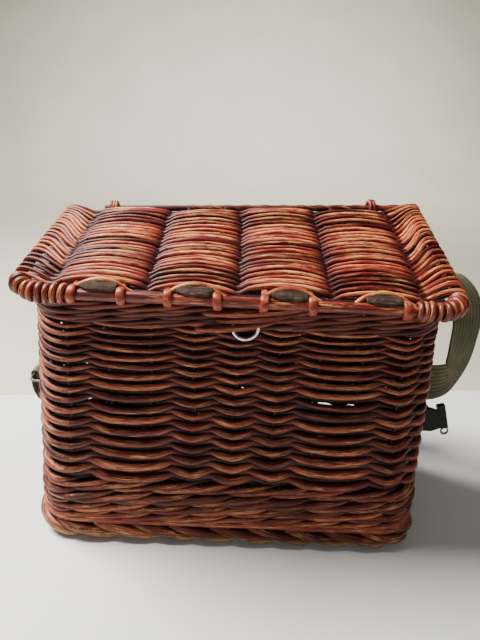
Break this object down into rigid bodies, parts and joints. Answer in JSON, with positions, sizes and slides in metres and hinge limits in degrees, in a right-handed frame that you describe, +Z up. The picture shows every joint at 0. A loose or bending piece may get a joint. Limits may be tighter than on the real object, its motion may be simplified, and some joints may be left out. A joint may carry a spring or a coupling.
{
  "type": "fishing creel basket",
  "caption": "Woven willow fishing creel with a hinged overhanging lid, rope-like foot border, webbing shoulder strap, wire ring, front ring and buckle.",
  "frame": {"origin": "middle of the base panel's underside, on the ground", "axes": "+Z up, +X along the basket's length to its right end, the front with the ring faces -Y"},
  "size_m": [0.4422, 0.2144, 0.2901],
  "materials": {
    "willow": "red-brown stained and varnished",
    "pale_willow": "worn, tan under the stain",
    "cut_wood": "weathered, matt",
    "white_metal": "bright",
    "dark_wire": "tarnished",
    "webbing": "ribbed webbing",
    "black_lacquer": "gloss black"
  },
  "bodies": {
    "basket": {"wall": "willow", "base_panel": "willow", "foot_border": "willow", "rim_border": "willow", "hinge_tie_left": "willow", "hinge_tie_right": "willow", "front_ring": "white_metal", "ring_staple": "dark_wire", "strap_ring": "dark_wire", "buckle_ring": "dark_wire", "strap": "webbing", "buckle_tab": "webbing", "buckle_plate": "black_lacquer", "buckle_bar": "black_lacquer"},
    "lid": {"lid_panel": "willow", "lid_front_rod": "pale_willow", "lid_back_rod": "willow", "lid_wrap_1": "pale_willow", "lid_wrap_2": "pale_willow", "lid_wrap_3": "pale_willow", "lid_wrap_4": "pale_willow", "lid_wrap_5": "pale_willow", "lid_wrap_6": "pale_willow", "lid_wrap_7": "pale_willow", "lid_tongue_1": "cut_wood", "lid_tongue_2": "cut_wood", "lid_tongue_3": "cut_wood", "lid_tongue_4": "cut_wood"}
  },
  "joints": [
    {"name": "lid_hinge", "type": "hinge", "parent": "basket", "child": "lid", "pos_m": [0, 0.0675, 0.277], "axis": [-0.9986, 0, -0.0536], "range_deg": [0, 110]}
  ]
}
